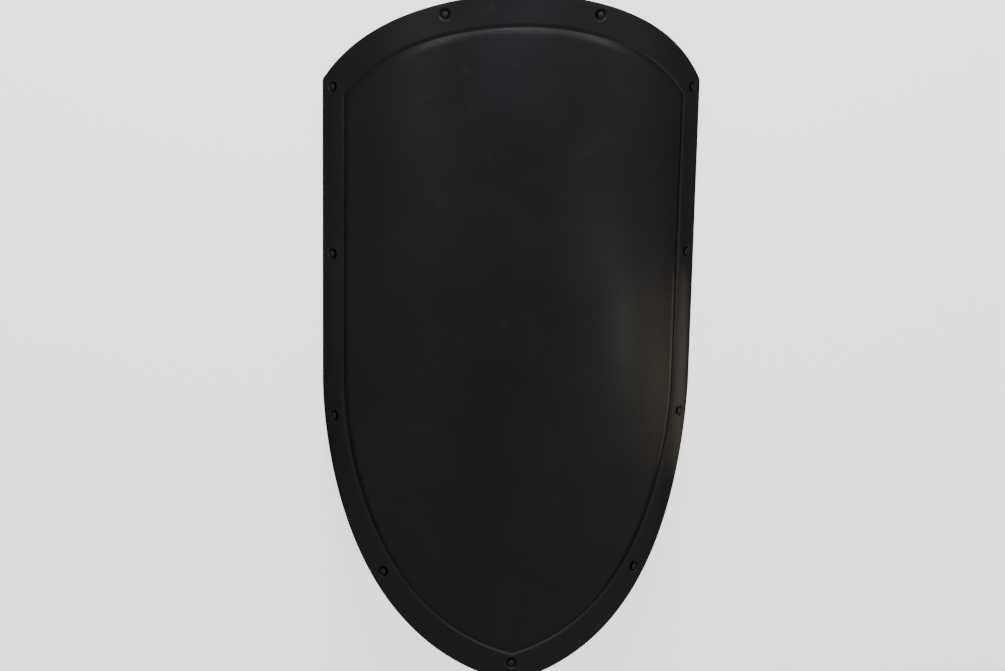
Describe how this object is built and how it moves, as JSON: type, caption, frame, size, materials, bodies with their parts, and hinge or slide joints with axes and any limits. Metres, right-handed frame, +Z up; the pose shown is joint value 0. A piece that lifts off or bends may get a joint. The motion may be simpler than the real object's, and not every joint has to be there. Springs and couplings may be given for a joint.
{
  "type": "kite shield",
  "caption": "Curved black steel kite shield with a raised field, a riveted border band, and leather arm and hand straps on its back.",
  "frame": {"origin": "under the middle of the bounding box, on the surface that the shield lies on", "axes": "+Z up from that surface through the shield's convex face, +Y towards the crown, X across the shield"},
  "size_m": [0.4888, 0.912, 0.1244],
  "materials": {
    "field_paint": "satin black paint, faintly wavy, with a few light scuffs",
    "band_paint": "satin black paint, a little worn along its edges",
    "rivet_paint": "black paint, rubbed on the domes",
    "strap_leather": "black bridle leather with a stitched edge",
    "strap_fittings": "blackened steel"
  },
  "bodies": {
    "root": {"border_band": "band_paint", "forearm_strap": "strap_leather", "forearm_strap_plate_lower": "strap_fittings", "forearm_strap_plate_upper": "strap_fittings", "forearm_strap_stud_1": "strap_fittings", "forearm_strap_stud_2": "strap_fittings", "forearm_strap_stud_3": "strap_fittings", "forearm_strap_stud_4": "strap_fittings", "hand_strap": "strap_leather", "hand_strap_plate_lower": "strap_fittings", "hand_strap_plate_upper": "strap_fittings", "hand_strap_stud_1": "strap_fittings", "hand_strap_stud_2": "strap_fittings", "hand_strap_stud_3": "strap_fittings", "hand_strap_stud_4": "strap_fittings", "rivet_crown_1": "rivet_paint", "rivet_crown_2": "rivet_paint", "rivet_left_1": "rivet_paint", "rivet_left_2": "rivet_paint", "rivet_left_3": "rivet_paint", "rivet_left_4": "rivet_paint", "rivet_point": "rivet_paint", "rivet_right_1": "rivet_paint", "rivet_right_2": "rivet_paint", "rivet_right_3": "rivet_paint", "rivet_right_4": "rivet_paint", "shield_plate": "field_paint"}
  },
  "joints": []
}
